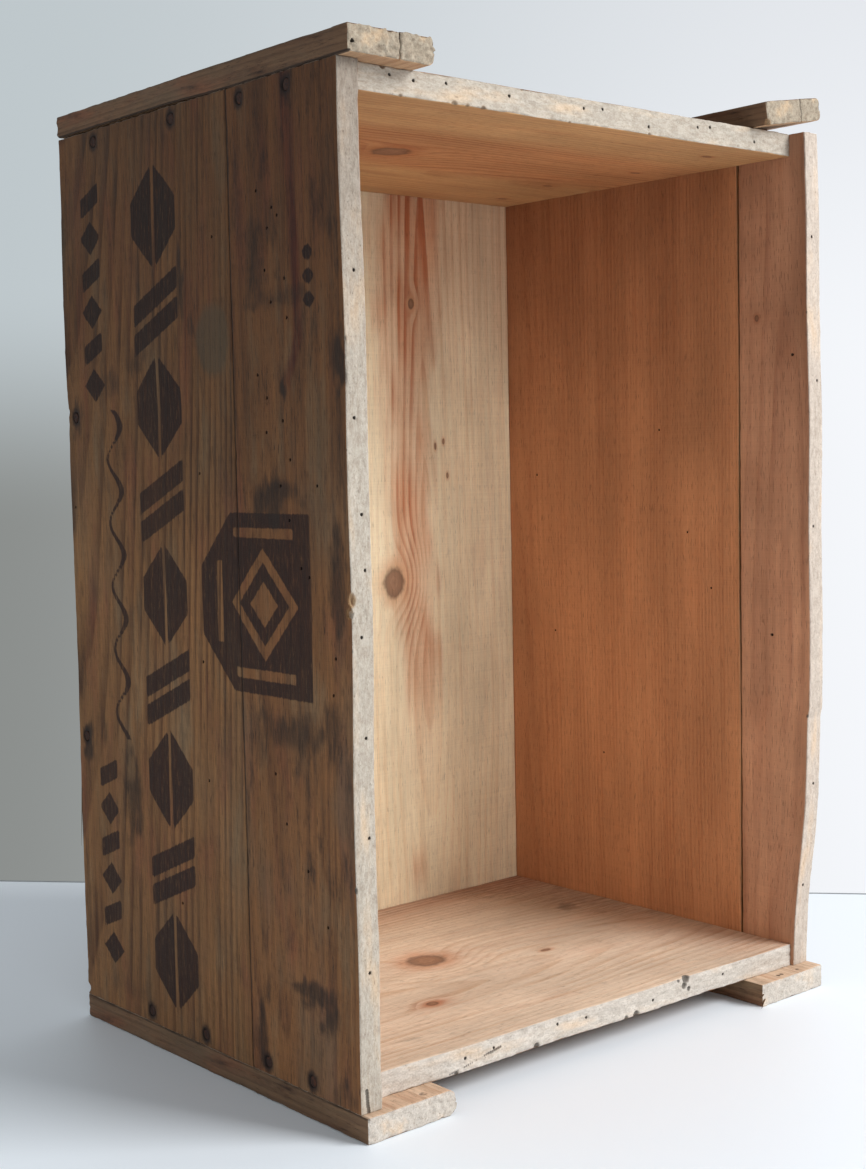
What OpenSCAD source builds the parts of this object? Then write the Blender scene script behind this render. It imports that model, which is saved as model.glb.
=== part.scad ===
// Nailed pine bottle crate, standing on one end with its open mouth to the front.
// X runs across the crate, Y from the mouth to the closed back, Z up along its length.
// Lengths below are laid out from the front left lower corner of the board box,
// and place() moves the whole crate so that its origin is at the centre of its footprint.

/* [Crate] */
// Width across the outer faces of the two sides
crate_w = 334; // [300:1:380]
// Depth of the board box, from the front edges of the sides to the back face
crate_d = 248; // [220:1:280]
// Height over the flat battens, as the crate stands on its end
crate_h = 500; // [440:1:560]

/* [Boards] */
// Thickness of the side boards
side_t = 12.5; // [11:0.5:16]
// Thickness of the two end boards
end_t = 12.5; // [11:0.5:16]
// Thickness of the back boards, which are the crate's bottom when it stands upright
back_t = 16; // [12:0.5:18]
// Width of the left side's front board
left_front_w = 86; // [70:1:110]
// Width of the right side's front board
right_front_w = 37; // [30:1:60]
// Open joint between the two boards of the left side
left_gap = 0.6; // [0.3:0.1:1.5]
// Open joint between the two boards of the right side
right_gap = 1.8; // [0.5:0.1:3]
// Open joint between the two back boards
back_gap = 0.8; // [0.3:0.1:2]
// Setback of the top end board behind the front edge of the left side
top_setback_left = 5; // [0:0.5:12]
// Setback of the top end board behind the front edge of the right side
top_setback_right = 1.5; // [0:0.5:12]
// Setback of the bottom end board behind the front edge of the left side
bottom_setback_left = 11; // [0:0.5:12]
// Setback of the bottom end board behind the front edge of the right side
bottom_setback_right = 3; // [0:0.5:12]
// How far the right front board swells out past the mouth at its widest
swell = 11; // [9:0.5:14]

/* [Battens] */
// Thickness of the battens across the ends
batten_t = 12.5; // [10:0.5:16]
// Width of the top left batten
top_left_w = 50; // [44:1:60]
// How far the top left batten stands out past the mouth
top_left_proud = 7.5; // [0:0.5:9]
// Width of the top right batten
top_right_w = 48; // [44:1:54]
// How far the top right batten stands out past the mouth
top_right_proud = 8; // [0:0.5:9]
// Width of the bottom left batten
bottom_left_w = 54; // [44:1:60]
// How far the bottom left batten stands out past the mouth
bottom_left_proud = 4; // [0:0.5:9]
// Width of the bottom right batten
bottom_right_w = 55; // [44:1:60]
// How far the bottom right batten stands out past the mouth
bottom_right_proud = 9; // [0:0.5:9]
// How far the bottom right batten stands out past the right side
bottom_right_overhang = 1; // [0:0.5:3]
// How far the loose top right batten stands out past the right side
top_right_overhang = 3.5; // [3:0.5:5]
// Angle at which the loose top right batten has lifted
lift_angle = 9.5; // [4:0.5:12]

/* [Nails] */
// Radius of a nail's shank
shank_r = 1.2; // [0.9:0.1:1.4]
// Radius of a nail's head
head_r = 2.8; // [2:0.1:3.2]
// Thickness of a nail's head
head_t = 1; // [0.6:0.1:1.4]
// Depth of the head's top below the wood
head_sink = 0.4; // [0.2:0.1:0.8]
// Length of the nails that hold the boxed boards together
box_nail = 38; // [32:1:42]
// Length of the batten nails that go into the ends of the side boards
long_batten_nail = 32; // [30:1:36]
// Length of the batten nails that go into the end boards
short_batten_nail = 21; // [18:1:22]

/* [Hidden] */

$fn = 48;
weathered = "#6b4f3a";
bare_edge = "#b9a98f";
orange_pine = "#b97a4a";
cream_pine = "#d3a97e";
rust = "#3a2a26";

// Levels and places that follow from the sizes above
box_low = batten_t;                        // underside of the boards, on the lower battens
box_high = crate_h - batten_t;             // top of the boards, under the upper battens
box_h = box_high - box_low;
inner_right = crate_w - side_t;            // inner face of the right side
back_face = crate_d - back_t;              // inner face of the back boards
back_joint = crate_w / 2;                  // joint between the back boards
low_nail_z = box_low + end_t / 2;          // nails into the bottom end board
high_nail_z = box_high - end_t / 2;        // nails into the top end board
back_nail_y = crate_d - back_t / 2;        // nails into the side edges of the back boards
right_most = crate_w + top_right_overhang; // outer lower edge of the lifted batten
pivot_x = right_most - top_right_w * cos(lift_angle);
place_x = -right_most / 2;
place_y = -(crate_d - swell) / 2;
bore_reach = 2;                            // how far a nail's bore is cut out into the air

// Nail places along Y, front to back, in the sides' outer faces
left_top_y = [38, 75, 135, 211];
left_bottom_y = [37, 73, 128, 180];
right_top_y = [18, 70, 140, 205];
right_bottom_y = [18, 68, 132, 200];
// Nail heights in the sides' outer faces, along the back edge
left_back_z = [161, 337];
right_back_z = [120, 250, 380];
// Nail places along X in the back face
back_x = [62, 128, 208, 274];
// Nail places along Y in the battens: into the side boards' ends, then into the end boards
batten_long_y = [22, 160];
batten_short_y = [55, 196];
long_nail_inset = 7;                       // from the outer face of the side boards
short_nail_inset = 16;                     // from the inner edge of a batten

// The crate is laid out from its corner and then centred over its footprint.
module place() {
    translate([place_x, place_y, 0]) children();
}

// A nail that points down from the wood's face at z = 0, or the bore that it fills.
module nail(length, bore) {
    translate([0, 0, -head_sink - head_t]) cylinder(r = head_r, h = head_t);
    translate([0, 0, -head_sink - length]) cylinder(r = shank_r, h = length - head_t);
    if (bore) translate([0, 0, -head_sink]) cylinder(r = head_r, h = head_sink + bore_reach);
}

// Nails that go to the right, into the left side's outer face
module left_face_nails(ys, zs, bore) {
    for (y = ys, z = zs) translate([0, y, z]) rotate([0, -90, 0]) nail(box_nail, bore);
}

// Nails that go to the left, into the right side's outer face
module right_face_nails(ys, zs, bore) {
    for (y = ys, z = zs) translate([crate_w, y, z]) rotate([0, 90, 0]) nail(box_nail, bore);
}

// Nails that go forward, into the back face
module back_face_nails(z, bore) {
    for (x = back_x) translate([x, crate_d, z]) rotate([-90, 0, 0]) nail(box_nail, bore);
}

// Batten nails at two distances across a flat batten, drawn downwards from its outer face
module batten_nails(long_x, short_x, bore) {
    for (y = batten_long_y) translate([long_x, y, 0]) nail(long_batten_nail, bore);
    for (y = batten_short_y) translate([short_x, y, 0]) nail(short_batten_nail, bore);
}

// Turns what is drawn on a batten over, onto the underside of the crate
module underside() {
    mirror([0, 0, 1]) children();
}

// The lifted batten's own frame: its lower inner edge rests on the top end board
module lifted() {
    translate([pivot_x, 0, box_high]) rotate([0, -lift_angle, 0]) children();
}

module left_top_set(bore) { left_face_nails(left_top_y, [high_nail_z], bore); }
module left_bottom_set(bore) { left_face_nails(left_bottom_y, [low_nail_z], bore); }
module left_back_set(bore) { left_face_nails([back_nail_y], left_back_z, bore); }
module right_top_set(bore) { right_face_nails(right_top_y, [high_nail_z], bore); }
module right_bottom_set(bore) { right_face_nails(right_bottom_y, [low_nail_z], bore); }
module right_back_set(bore) { right_face_nails([back_nail_y], right_back_z, bore); }

module top_left_batten_set(bore) {
    translate([0, 0, crate_h]) batten_nails(long_nail_inset, top_left_w - short_nail_inset, bore);
}

module bottom_left_batten_set(bore) {
    underside() batten_nails(long_nail_inset, bottom_left_w - short_nail_inset, bore);
}

module bottom_right_batten_set(bore) {
    short_x = crate_w + bottom_right_overhang - bottom_right_w + short_nail_inset;
    underside() batten_nails(crate_w - long_nail_inset, short_x, bore);
}

module top_right_batten_set(bore) {
    long_x = (crate_w - long_nail_inset - pivot_x) * cos(lift_angle);
    lifted() translate([0, 0, batten_t]) batten_nails(long_x, short_nail_inset, bore);
}

// Every nail bore in the crate, cut from each board that a nail passes through
module all_bores() {
    left_top_set(true);
    left_bottom_set(true);
    left_back_set(true);
    right_top_set(true);
    right_bottom_set(true);
    right_back_set(true);
    back_face_nails(low_nail_z, true);
    back_face_nails(high_nail_z, true);
    top_left_batten_set(true);
    bottom_left_batten_set(true);
    bottom_right_batten_set(true);
    top_right_batten_set(true);
}

// A sawn board of the given corner and size, with its nail bores
module bored_board(corner, size) {
    place() difference() {
        translate(corner) cube(size);
        all_bores();
    }
}

module left_side_front_board() {
    color(weathered) bored_board([0, 0, box_low], [side_t, left_front_w, box_h]);
}

module left_side_rear_board() {
    start = left_front_w + left_gap;
    color(weathered) bored_board([0, start, box_low], [side_t, crate_d - start, box_h]);
}

// The right front board keeps a straight rear edge, and its front edge swells out past the mouth.
module right_side_front_board() {
    outline = [
        [right_front_w, box_low],
        [right_front_w, box_high],
        [-0.7 * swell, box_high],
        [-0.93 * swell, box_low + 0.76 * box_h],
        [-swell, box_low + 0.57 * box_h],
        [-swell, box_low + 0.33 * box_h],
        [-0.73 * swell, box_low + 0.26 * box_h],
        [0, box_low]
    ];
    color(orange_pine) place() difference() {
        translate([inner_right, 0, 0]) rotate([90, 0, 90]) linear_extrude(side_t) polygon(outline);
        all_bores();
    }
}

module right_side_rear_board() {
    start = right_front_w + right_gap;
    color(orange_pine) bored_board([inner_right, start, box_low], [side_t, crate_d - start, box_h]);
}

// An end board's front edge runs out of square, so its setback differs at the two sides.
module end_board(z, setback_left, setback_right) {
    outline = [
        [side_t, setback_left],
        [inner_right, setback_right],
        [inner_right, back_face],
        [side_t, back_face]
    ];
    color(cream_pine) place() difference() {
        translate([0, 0, z]) linear_extrude(end_t) polygon(outline);
        all_bores();
    }
}

module top_end_board() { end_board(box_high - end_t, top_setback_left, top_setback_right); }
module bottom_end_board() { end_board(box_low, bottom_setback_left, bottom_setback_right); }

module back_left_board() {
    color(cream_pine) bored_board(
        [side_t, back_face, box_low],
        [back_joint - back_gap / 2 - side_t, back_t, box_h]
    );
}

module back_right_board() {
    start = back_joint + back_gap / 2;
    color(cream_pine) bored_board([start, back_face, box_low], [inner_right - start, back_t, box_h]);
}

// A flat batten across an end, from in front of the mouth to the back face
module flat_batten(x, z, width, proud) {
    color(bare_edge) bored_board([x, -proud, z], [width, crate_d + proud, batten_t]);
}

module top_left_batten() { flat_batten(0, box_high, top_left_w, top_left_proud); }
module bottom_left_batten() { flat_batten(0, 0, bottom_left_w, bottom_left_proud); }

module bottom_right_batten() {
    start = crate_w + bottom_right_overhang - bottom_right_w;
    flat_batten(start, 0, bottom_right_w, bottom_right_proud);
}

module top_right_batten() {
    size = [top_right_w, crate_d + top_right_proud, batten_t];
    color(bare_edge) place() difference() {
        lifted() translate([0, -top_right_proud, 0]) cube(size);
        top_right_batten_set(true);
    }
}

module steel_nails() { color(rust) place() children(); }

module left_side_top_nails() { steel_nails() left_top_set(false); }
module left_side_bottom_nails() { steel_nails() left_bottom_set(false); }
module right_side_top_nails() { steel_nails() right_top_set(false); }
module right_side_bottom_nails() { steel_nails() right_bottom_set(false); }
module left_side_back_nails() { steel_nails() left_back_set(false); }
module right_side_back_nails() { steel_nails() right_back_set(false); }
module back_top_nails() { steel_nails() back_face_nails(high_nail_z, false); }
module back_bottom_nails() { steel_nails() back_face_nails(low_nail_z, false); }
module top_left_batten_nails() { steel_nails() top_left_batten_set(false); }
module top_right_batten_nails() { steel_nails() top_right_batten_set(false); }
module bottom_left_batten_nails() { steel_nails() bottom_left_batten_set(false); }
module bottom_right_batten_nails() { steel_nails() bottom_right_batten_set(false); }

left_side_front_board();
left_side_rear_board();
right_side_front_board();
right_side_rear_board();
top_end_board();
bottom_end_board();
back_left_board();
back_right_board();
top_left_batten();
top_right_batten();
bottom_left_batten();
bottom_right_batten();
left_side_top_nails();
left_side_bottom_nails();
right_side_top_nails();
right_side_bottom_nails();
left_side_back_nails();
right_side_back_nails();
back_top_nails();
back_bottom_nails();
top_left_batten_nails();
top_right_batten_nails();
bottom_left_batten_nails();
bottom_right_batten_nails();
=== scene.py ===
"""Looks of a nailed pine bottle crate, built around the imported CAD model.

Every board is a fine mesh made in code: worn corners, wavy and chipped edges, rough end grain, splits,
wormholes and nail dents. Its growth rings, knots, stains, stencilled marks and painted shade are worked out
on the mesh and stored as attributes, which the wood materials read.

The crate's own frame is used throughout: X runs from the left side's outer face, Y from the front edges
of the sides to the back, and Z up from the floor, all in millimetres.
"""
import math

import bpy
import numpy as np
from mathutils import Matrix, Vector


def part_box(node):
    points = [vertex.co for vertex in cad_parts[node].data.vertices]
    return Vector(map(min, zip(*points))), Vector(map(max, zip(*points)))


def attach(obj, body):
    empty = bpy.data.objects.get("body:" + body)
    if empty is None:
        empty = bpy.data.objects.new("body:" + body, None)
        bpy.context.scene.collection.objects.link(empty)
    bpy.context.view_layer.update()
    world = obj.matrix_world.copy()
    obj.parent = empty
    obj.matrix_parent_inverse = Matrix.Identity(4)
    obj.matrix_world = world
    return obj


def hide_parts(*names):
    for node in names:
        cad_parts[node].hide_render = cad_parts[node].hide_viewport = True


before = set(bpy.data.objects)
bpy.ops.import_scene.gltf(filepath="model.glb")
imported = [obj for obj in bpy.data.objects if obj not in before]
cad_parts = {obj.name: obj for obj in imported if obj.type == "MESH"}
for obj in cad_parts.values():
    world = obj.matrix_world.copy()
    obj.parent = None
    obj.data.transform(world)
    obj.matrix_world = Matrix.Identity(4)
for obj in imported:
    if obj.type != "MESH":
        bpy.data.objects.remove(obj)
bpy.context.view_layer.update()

MM = 0.001

# The floor below the crate's left front corner, from which the crate's own frame is measured
SIDE_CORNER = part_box("left_side_front_board")[0]
CORNER = np.array([SIDE_CORNER.x, SIDE_CORNER.y, 0.0])

# How far the loose top right batten has tipped up
LIFT_ANGLE = math.radians(9.5)

# The six faces of a board: the axis that each is square to, and whether it is the high end of that axis
FACES = {
    "foot": (0, False), "head": (0, True),
    "front": (1, False), "rear": (1, True),
    "inner": (2, False), "outer": (2, True),
}


# ---------------------------------------------------------------- numbers

def crate_box(node):
    """Lowest and highest corner of a CAD node in the crate's own frame."""
    low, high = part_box(node)
    return (np.array(low) - CORNER) / MM, (np.array(high) - CORNER) / MM


def hashed(i, j, k, seed):
    """A repeatable random number from -1 to 1 for each lattice point."""
    value = i * 73856093 ^ j * 19349663 ^ k * 83492791 ^ seed * 2654435761
    value = (value ^ (value >> 13)) * 1274126177 & 0x7FFFFFFF
    return (value ^ (value >> 16)) % 65536 / 32767.5 - 1


def lumps(points, size, seed):
    """Smooth noise from -1 to 1, with lumps of about the given size along each axis."""
    scaled = points / np.array(size, float) + 0.37
    cell = np.floor(scaled).astype(np.int64)
    part = scaled - cell
    part = part * part * (3 - 2 * part)
    total = np.zeros(len(points))
    for i in (0, 1):
        for j in (0, 1):
            for k in (0, 1):
                share = np.ones(len(points))
                for axis, step in enumerate((i, j, k)):
                    share *= part[:, axis] if step else 1 - part[:, axis]
                total += share * hashed(cell[:, 0] + i, cell[:, 1] + j, cell[:, 2] + k, seed)
    return total


def ramp(value, low, high):
    """0 below low, 1 above high, and a smooth climb between; low may be the larger one."""
    share = np.clip((value - low) / (high - low), 0, 1)
    return share * share * (3 - 2 * share)


def grid_lines(low, high, step, fine):
    """Grid lines from low to high: evenly spaced, and closer at both ends and round the fine places."""
    near_edge = np.array([0, 0.3, 0.7, 1.2, 1.9, 2.9, 4.2])
    near_edge = near_edge[near_edge < 0.45 * (high - low)]
    places = [low + near_edge, high - near_edge]
    count = max(2, round((high - low) / step) + 1)
    places.append(np.linspace(low, high, count))
    for centre, reach, spacing in fine:
        places.append(np.arange(centre - reach, centre + reach + spacing / 2, spacing))
    merged = np.unique(np.concatenate(places).round(3))
    merged = merged[(merged > low) & (merged < high)]
    kept = [low]
    for place in merged:
        if place - kept[-1] > 0.24:
            kept.append(place)
    if high - kept[-1] < 0.2:
        kept.pop()
    return np.array(kept + [high])


# ---------------------------------------------------------------- boards

class Board:
    """A sawn board as a fine closed mesh.

    u runs along the grain, v across it and w from the inner face to the outer one.
    """

    def __init__(self, node, along, across, outward, step=(3.0, 3.0), seed=1):
        self.node = node
        self.seed = seed
        self.step = step
        self.place(*crate_box(node), along, across, outward)
        self.fine = ([], [], [])
        self.holes = []
        self.splits = []
        self.bites = []
        self.knots = []
        self.slivers = []
        self.nail_marks = []
        self.corner = 0.8
        self.chipping = 2.2
        self.edge_rough = 0.22
        self.end_rough = 0.3
        self.face_rough = 0.12
        self.front_edge = lambda u: 0 * u
        self.rear_edge = lambda u: 0 * u
        self.underside = lambda u, v: 0 * u
        self.round_rear = 0.0
        self.pale_front = 1.0
        self.pale_rear = 1.0
        self.pith = (0.0, -60.0)
        self.pith_slope = 0.0
        self.wander = 4.0
        self.paint = {}

    def place(self, low, high, along, across, outward):
        """Takes the board's box in the crate's frame, with the signed axes that u, v and w follow."""
        self.axes = np.zeros((3, 3))
        self.axes[along, 0] = 1
        self.axes[across, 1] = 1
        self.axes[abs(outward) - 1, 2] = math.copysign(1, outward)
        self.origin = np.zeros(3)
        inner = low if outward > 0 else high
        self.origin[abs(outward) - 1] = inner[abs(outward) - 1]
        thickness = (high - low)[abs(outward) - 1]
        self.low = np.array([low[along], low[across], 0.0])
        self.high = np.array([high[along], high[across], thickness])

    def to_crate(self, local):
        """Places in the board's own u, v and w, moved to the crate's frame."""
        return self.origin + local @ self.axes.T

    def to_local(self, places):
        """Places in the crate's frame, as the board's own u, v and w."""
        return (np.asarray(places) - self.origin) @ self.axes

    # -- features, in the board's own u and v

    def hole(self, face, a, b, radius, depth, hollow_shade=1.0):
        """A round hole in one face, at a and b along that face's two axes."""
        axis, high = FACES[face]
        # The last value is how much painted shade fills the hole.
        self.holes.append((axis, high, a, b, radius, depth, hollow_shade))
        reach = 1.6 * radius
        for in_plane, centre in zip([x for x in range(3) if x != axis], (a, b)):
            self.fine[in_plane].append((centre, reach, reach))

    def wormholes(self, face, places, radius=0.75):
        """Small round holes in one face."""
        for a, b in places:
            self.hole(face, a, b, radius, 2.4)

    def nail(self, place):
        """A nail's dent in the outer face, with the rust round it."""
        u, v, w = self.to_local(place)
        inside = self.low[:2] + 4 < (u, v)
        if inside.all() and ((u, v) < self.high[:2] - 4).all() and abs(w - self.high[2]) < 3:
            # The dent's hollow gets painted shade.
            self.hole("outer", u, v, NAIL_DENT, 1.0, 0.8)
            self.fine[0].append((u, 9, 1.8))
            self.fine[1].append((v, 7, 1.8))
            self.nail_marks.append((u, v))

    def split(self, v, start, end, width, depth):
        """A crack along the grain from start to end, which opens towards start."""
        self.splits.append((v, start, end, width, depth))
        for side in (-1, 1):
            self.fine[1].append((v + side * 0.6 * width, 0.3 * width, 0.3 * width))
        self.fine[1].append((v, 0.1, 0.2))

    def bite(self, u, v, w, radius, fresh=0.0):
        """A broken-out place, as a rough round scoop; a fresh one shows bright wood."""
        self.bites.append((u, v, w, radius, fresh))
        self.fine[0].append((u, radius + 1, radius / 4))
        self.fine[1].append((v, radius + 1, radius / 4))
        self.fine[2].append((w, radius, max(radius / 3, 0.45)))

    def knot(self, u, v, length, width):
        """A knot of the given size, round which the rings swerve."""
        self.knots.append((u, v, length / 2, width / 2))
        self.fine[0].append((u, 1.5 * length, length / 6))
        self.fine[1].append((v, 1.5 * width, width / 6))

    def sliver(self, start, end, bend, width):
        """A thin torn strip of wood from start to end, in the crate's frame."""
        self.slivers.append((np.array(start, float), np.array(end, float), np.array(bend, float), width))

    # -- the mesh

    def surface(self):
        """The box's surface as a grid, with its holes left out and filled with sunken rings."""
        lines = [
            grid_lines(self.low[axis], self.high[axis], step, self.fine[axis])
            for axis, step in enumerate((*self.step, 1.3))
        ]
        shape = tuple(len(line) for line in lines)
        outside = np.zeros(shape, bool)
        for axis in range(3):
            for end in (0, -1):
                outside[tuple(end if x == axis else slice(None) for x in range(3))] = True
        index = np.full(shape, -1)
        index[outside] = np.arange(outside.sum())
        where = np.nonzero(outside)
        points = np.stack([line[places] for line, places in zip(lines, where)], 1)
        normals = np.stack([
            (places == size - 1).astype(float) - (places == 0) for places, size in zip(where, shape)
        ], 1)
        self.points = [points]
        self.normals = [normals]
        self.sunk = [np.zeros(len(points))]
        # How much painted shade each point gets down in a hole
        self.hollow_shade = [np.zeros(len(points))]
        self.faces = []
        self.count = len(points)
        for axis in range(3):
            for high in (False, True):
                self.face_sheet(axis, high, lines, index)
        self.points = np.concatenate(self.points)
        self.normals = np.concatenate(self.normals)
        self.sunk = np.concatenate(self.sunk)
        self.hollow_shade = np.concatenate(self.hollow_shade)

    def face_sheet(self, axis, high, lines, index):
        """One face's quads, and the rings of its holes."""
        sheet = np.take(index, -1 if high else 0, axis=axis)
        in_plane = [x for x in range(3) if x != axis]
        solid = np.ones((sheet.shape[0] - 1, sheet.shape[1] - 1), bool)
        turned = (axis == 1) == high
        for hole in self.holes:
            if hole[:2] == (axis, high):
                self.sink_hole(hole, sheet, solid, [lines[x] for x in in_plane], turned)
        corners = [sheet[:-1, :-1], sheet[1:, :-1], sheet[1:, 1:], sheet[:-1, 1:]]
        quads = np.stack([corner[solid] for corner in corners], 1)
        self.faces.extend((quads[:, ::-1] if turned else quads).tolist())

    def sink_hole(self, hole, sheet, solid, lines, turned):
        """Cuts a block of quads out of a face and fills it with rings that go down into the wood."""
        axis, high, a, b, radius, depth, hollow_shade = hole
        first = [np.searchsorted(line, c - 1.35 * radius) - 1 for line, c in zip(lines, (a, b))]
        last = [np.searchsorted(line, c + 1.35 * radius) for line, c in zip(lines, (a, b))]
        if min(first) < 0 or last[0] >= sheet.shape[0] or last[1] >= sheet.shape[1]:
            return
        block = (slice(first[0], last[0]), slice(first[1], last[1]))
        if not solid[block].all():
            return
        solid[block] = False
        loop = [(i, first[1]) for i in range(first[0], last[0])]
        loop += [(last[0], j) for j in range(first[1], last[1])]
        loop += [(i, last[1]) for i in range(last[0], first[0], -1)]
        loop += [(first[0], j) for j in range(last[1], first[1], -1)]
        ring = [sheet[place] for place in loop]
        spokes = np.array([(lines[0][i] - a, lines[1][j] - b) for i, j in loop])
        spokes /= np.linalg.norm(spokes, axis=1)[:, None]
        ragged = 1 + 0.07 * np.sin(3 * np.arctan2(spokes[:, 1], spokes[:, 0]) + a)
        in_plane = [x for x in range(3) if x != axis]
        # Each ring: its share of the radius, how deep it sinks, and how much painted shade it gets
        for share, down, dark in ((1.12, 0.0, 0.15), (1.0, 0.12, 0.8), (0.86, 1.0, 1.0)):
            points = np.zeros((len(loop), 3))
            points[:, axis] = self.high[axis] if high else self.low[axis]
            for column, centre in enumerate((a, b)):
                points[:, in_plane[column]] = centre + spokes[:, column] * radius * share * ragged
            normals = np.zeros((len(loop), 3))
            normals[:, axis] = 1 if high else -1
            self.points.append(points)
            self.normals.append(normals)
            self.sunk.append(np.full(len(loop), down * depth))
            self.hollow_shade.append(np.full(len(loop), dark * hollow_shade))
            inner = list(range(self.count, self.count + len(loop)))
            self.count += len(loop)
            for m in range(len(loop)):
                n = (m + 1) % len(loop)
                quad = [ring[m], ring[n], inner[n], inner[m]]
                self.faces.append(quad[::-1] if turned else quad)
            ring = inner
        self.faces.append(ring[::-1] if turned else ring)

    def wear(self):
        """Moves the surface's points: worn corners, roughness, cracks, bites and wavy edges."""
        nominal = self.points
        self.middle = (self.low + self.high) / 2
        self.half = (self.high - self.low) / 2
        points = self.rounded_corners(nominal)
        outward = self.normals / np.linalg.norm(self.normals, axis=1)[:, None]
        on_end = abs(self.normals[:, 0])
        on_edge = abs(self.normals[:, 1]) * (1 - on_end)
        rise = self.roughness(nominal, on_end, on_edge) - self.sunk
        # Painted shade in holes and cracks, and the darkening of old breaks, go into one attribute
        self.cavity = self.hollow_shade.copy()
        self.freshly_torn = np.zeros(len(points))
        for split in self.splits:
            rise -= self.open_split(points, nominal, *split)
        points += outward * rise[:, None]
        if self.round_rear:
            self.round_rear_edge(points, nominal)
        for bite in self.bites:
            self.break_out(points, nominal, *bite)
        self.bend_edges(points, nominal)
        pale = np.where(nominal[:, 1] < self.middle[1], self.pale_front, self.pale_rear)
        self.on_edge = np.clip(on_edge * pale + on_end, 0, 1)
        self.on_side = on_edge * (1 - pale)
        self.shaped = points

    def rounded_corners(self, nominal):
        """The points with all corners rounded, by more in some places, and with a few chips."""
        radius = self.corner * (1 + 0.45 * lumps(nominal, (23, 17, 17), self.seed))
        chips = lumps(nominal, (11, 8, 6), self.seed + 1)
        radius += self.chipping * np.clip(chips - 0.42, 0, 1)
        radius = np.clip(radius, 0.3, 0.84 * self.half.min())[:, None]
        kept = np.clip(nominal - self.middle, radius - self.half, self.half - radius)
        offset = nominal - self.middle - kept
        reach = np.linalg.norm(offset, axis=1)[:, None]
        return self.middle + kept + offset / reach * radius

    def roughness(self, nominal, on_end, on_edge):
        """How far each point stands out on the rough ends, the rough edges and the smoother faces."""
        on_face = 1 - np.clip(on_end + on_edge, 0, 1)
        fine = lumps(nominal, (1.6, 1.6, 1.6), self.seed + 2)
        coarse = lumps(nominal, (26, 7, 5), self.seed + 3)
        torn = lumps(nominal, (5, 2.2, 2.2), self.seed + 4)
        broad = lumps(nominal, (60, 14, 9), self.seed + 5)
        rise = on_end * self.end_rough * (0.6 * fine + 0.8 * torn)
        rise += on_edge * self.edge_rough * (0.4 * fine + 0.9 * torn + 0.8 * coarse)
        return rise + on_face * self.face_rough * (broad + 0.3 * torn)

    def open_split(self, points, nominal, v, start, end, width, depth):
        """Makes a crack wander about its line, and returns how deep each point sinks into it."""
        along = (nominal[:, 0] - start) / (end - start)
        opening = np.where((along > -0.02) & (along < 1), 1 - np.clip(along, 0, 1), 0)
        path = v + 0.9 * lumps(nominal * [1, 0, 0], (16, 1, 1), self.seed + 6)
        near = np.exp(-((nominal[:, 1] - v) / 4) ** 2) * (along > -0.1) * (along < 1.1)
        points[:, 1] += near * (path - v)
        dip = np.clip(1 - abs(nominal[:, 1] - v) / width, 0, 1) * opening ** 0.6
        # Painted shade down in the crack
        self.cavity = np.maximum(self.cavity, ramp(dip, 0.1, 0.7))
        return depth * dip

    def round_rear_edge(self, points, nominal):
        """Rounds the whole rear edge."""
        into = np.clip(nominal[:, 1] - self.high[1] + self.round_rear, 0, self.round_rear)
        drop = self.round_rear - np.sqrt(self.round_rear ** 2 - into ** 2)
        points[:, 2] = self.middle[2] + (points[:, 2] - self.middle[2]) * (1 - drop / self.half[2])

    def break_out(self, points, nominal, u, v, w, size, fresh):
        """Pushes the surface in round a bite, towards the middle of the board."""
        centre = np.array([u, v, w])
        away = points - centre
        far = np.linalg.norm(away, axis=1)
        rough = size * (1 + 0.22 * lumps(nominal, (3, 2, 2), self.seed + 7))
        inside = far < rough
        near_end = abs(u - self.middle[0]) > self.half[0] - 3
        direction = (self.middle - centre) * [0.25 * near_end, 1, 1]
        direction /= np.linalg.norm(direction)
        along = away @ direction
        push = np.sqrt(np.clip(rough ** 2 - far ** 2 + along ** 2, 0, None)) - along
        points[inside] += push[inside, None] * direction
        self.freshly_torn = np.maximum(self.freshly_torn, fresh * ramp(far, 1.25 * size, 0.9 * size))
        self.cavity = np.maximum(self.cavity, (1 - fresh) * 0.7 * ramp(far, 1.1 * size, 0.8 * size))

    def bend_edges(self, points, nominal):
        """Moves the front and rear edges to their wavy outlines, and the inner face to its own."""
        u, v, w = nominal.T
        share = (v - self.low[1]) / (self.high[1] - self.low[1])
        points[:, 1] += (1 - share) * self.front_edge(u) + share * self.rear_edge(u)
        inner_share = 1 - (w - self.low[2]) / (self.high[2] - self.low[2])
        points[:, 2] += inner_share * self.underside(u, v)

    def figure(self):
        """How far each point lies from the pith, which gives the growth rings, and how far from a knot."""
        u, v, w = self.points.T
        bend = self.wander * lumps(self.points, (230, 80, 80), self.seed + 8)
        bend += 0.2 * self.wander * lumps(self.points, (95, 24, 24), self.seed + 9)
        across = v.copy()
        nearest = np.full(len(u), 6.0)
        for knot_u, knot_v, length, width in self.knots:
            far = np.hypot((u - knot_u) / length, (v - knot_v) / width)
            swerve = np.exp(-((u - knot_u) / (2.6 * length)) ** 2 - ((v - knot_v) / (2.6 * width)) ** 2)
            across -= 0.85 * swerve * (v - knot_v)
            bend += 1.6 * width * swerve
            nearest = np.minimum(nearest, far * (1 + 0.08 * lumps(self.points, (3, 3, 3), self.seed)))
        pith_v, pith_w = self.pith
        deep = w - pith_w - self.pith_slope * u
        rings = np.hypot(across - pith_v, deep) + bend
        return {"rings": rings, "knot": nearest}

    def rust_marks(self):
        """Dark rings round the nails, which run a little way along the grain."""
        u, v, w = self.points.T
        rust = np.zeros(len(u))
        for nail_u, nail_v in self.nail_marks:
            ahead = np.hypot((u - nail_u) * 0.75, v - nail_v)
            rust = np.maximum(rust, 0.85 * ramp(ahead, 5.2, 2.9))
        return rust * ramp(w, self.high[2] - 3, self.high[2] - 0.5)

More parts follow.
